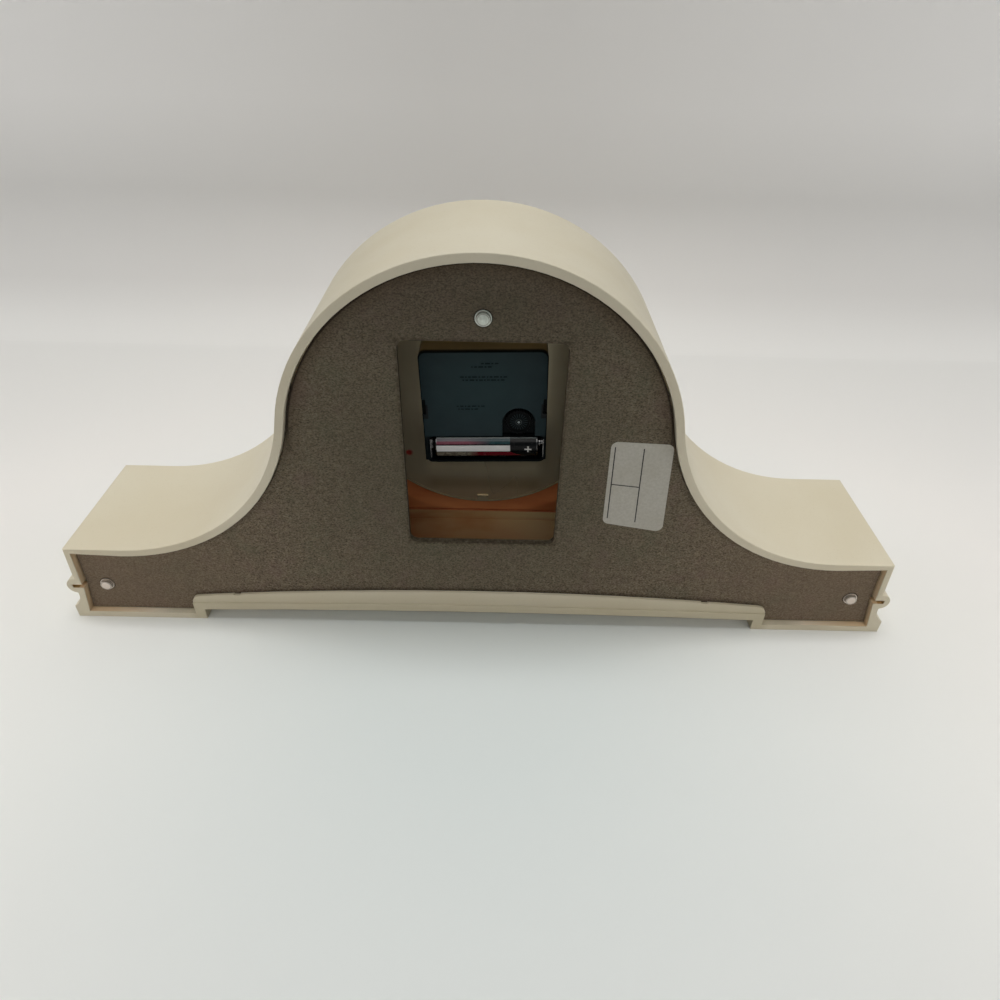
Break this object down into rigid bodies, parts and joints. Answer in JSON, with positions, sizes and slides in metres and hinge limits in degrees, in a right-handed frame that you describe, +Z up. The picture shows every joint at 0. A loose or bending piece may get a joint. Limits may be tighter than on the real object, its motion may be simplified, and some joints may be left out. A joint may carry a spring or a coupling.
{
  "type": "mantel clock",
  "caption": "Tambour mantel clock in ivory moulded plastic: humped case on a moulded base, brass-rimmed domed dial, and a battery movement reached through an opening in the dark back board.",
  "frame": {"origin": "bottom centre of the whole clock's bounding box, on the surface that it stands on", "axes": "+Z up, -Y out of the dial towards the viewer of the front, +X to the right as seen from the front"},
  "size_m": [0.3926, 0.0754, 0.1812],
  "materials": {
    "case_plastic": "satin ivory moulded polystyrene",
    "board": "dark brown pressed hardboard, smooth face",
    "zinc": "zinc-plated stamped steel",
    "label_paper": "matt silver-grey paper",
    "brass": "bright lacquered brass",
    "lens": "clear polished",
    "card": "matt ivory printed card",
    "olive_metal": "glossy gold-lacquered sheet",
    "spacer_plastic": "matt cream",
    "rubber": "matt black",
    "movement_plastic": "semi-gloss black with a green cast",
    "knob_plastic": "satin black",
    "nickel": "bright nickel plate",
    "cell_print": "glossy printed film in silver, white and black",
    "black_hand": "satin black lacquer",
    "gear_plastic": "natural acetal",
    "magnet": "dark sintered ferrite",
    "copper": "enamelled copper wire",
    "core_steel": "bare silicon steel",
    "circuit": "brown laminate"
  },
  "bodies": {
    "clock_body": {"case_shell": "case_plastic", "back_board": "board", "push_caps": "zinc", "back_label": "label_paper", "bezel": "brass", "dial_lens": "lens", "dial_spacer": "spacer_plastic", "dial_plate": "olive_metal", "dial_card": "card", "rubber_washer": "rubber", "brass_washer": "brass", "bush_nut": "brass", "threaded_bush": "brass", "movement_housing": "movement_plastic", "movement_cover": "movement_plastic", "negative_contact": "nickel", "positive_contact": "nickel", "negative_strip": "nickel", "circuit_board": "circuit", "quartz_crystal": "nickel", "control_chip": "rubber", "coil_bobbin": "gear_plastic", "coil_winding": "copper", "stator": "core_steel"},
    "battery": {"battery_cell": "nickel", "battery_jacket": "cell_print"},
    "minute_group": {"minute_pipe": "brass", "minute_hand": "black_hand", "hand_nut": "brass"},
    "hour_group": {"hour_wheel": "gear_plastic", "hour_hand": "black_hand"},
    "motion_wheel": {"minute_wheel": "gear_plastic"},
    "knob": {"setting_knob": "knob_plastic"},
    "seconds_group": {"seconds_wheel": "gear_plastic", "seconds_hand": "black_hand"},
    "intermediate": {"intermediate_wheel": "gear_plastic"},
    "rotor": {"rotor_magnet": "magnet", "rotor_pinion": "gear_plastic"},
    "third": {"third_wheel": "gear_plastic"},
    "centre": {"centre_wheel": "brass"}
  },
  "joints": [
    {"name": "battery_slide", "type": "slide", "parent": "clock_body", "child": "battery", "axis": [0, 1, 0], "range_m": [0, 0.08]},
    {"name": "minute_turn", "type": "hinge", "parent": "clock_body", "child": "minute_group", "pos_m": [0, -0.00735, 0.0988], "axis": [0, 1, 0], "continuous": true},
    {"name": "hour_turn", "type": "hinge", "parent": "clock_body", "child": "hour_group", "pos_m": [0, -0.00735, 0.0988], "axis": [0, 1, 0], "continuous": true},
    {"name": "motion_wheel_turn", "type": "hinge", "parent": "clock_body", "child": "motion_wheel", "pos_m": [-0.0114, -0.00735, 0.10254], "axis": [0, 1, 0], "continuous": true},
    {"name": "knob_turn", "type": "hinge", "parent": "clock_body", "child": "knob", "pos_m": [-0.0166, -0.00735, 0.09239], "axis": [0, 1, 0], "continuous": true},
    {"name": "seconds_spin", "type": "hinge", "parent": "clock_body", "child": "seconds_group", "pos_m": [0, -0.00735, 0.0988], "axis": [0, 1, 0], "continuous": true},
    {"name": "intermediate_spin", "type": "hinge", "parent": "clock_body", "child": "intermediate", "pos_m": [0.01206, -0.00735, 0.0963], "axis": [0, 1, 0], "continuous": true},
    {"name": "rotor_spin", "type": "hinge", "parent": "clock_body", "child": "rotor", "pos_m": [0.01809, -0.00735, 0.10106], "axis": [0, 1, 0], "continuous": true},
    {"name": "third_spin", "type": "hinge", "parent": "clock_body", "child": "third", "pos_m": [0.00185, -0.00735, 0.1109], "axis": [0, 1, 0], "continuous": true},
    {"name": "centre_spin", "type": "hinge", "parent": "clock_body", "child": "centre", "pos_m": [0, -0.00735, 0.0988], "axis": [0, 1, 0], "continuous": true}
  ],
  "couplings": [
    {"joint": "hour_turn", "follows": "minute_turn", "ratio": 0.083333},
    {"joint": "motion_wheel_turn", "follows": "minute_turn", "ratio": -0.33333},
    {"joint": "knob_turn", "follows": "minute_turn", "ratio": 1.25},
    {"joint": "intermediate_spin", "follows": "seconds_spin", "ratio": -6},
    {"joint": "rotor_spin", "follows": "seconds_spin", "ratio": 30},
    {"joint": "third_spin", "follows": "seconds_spin", "ratio": -0.13333},
    {"joint": "centre_spin", "follows": "seconds_spin", "ratio": 0.016667}
  ]
}
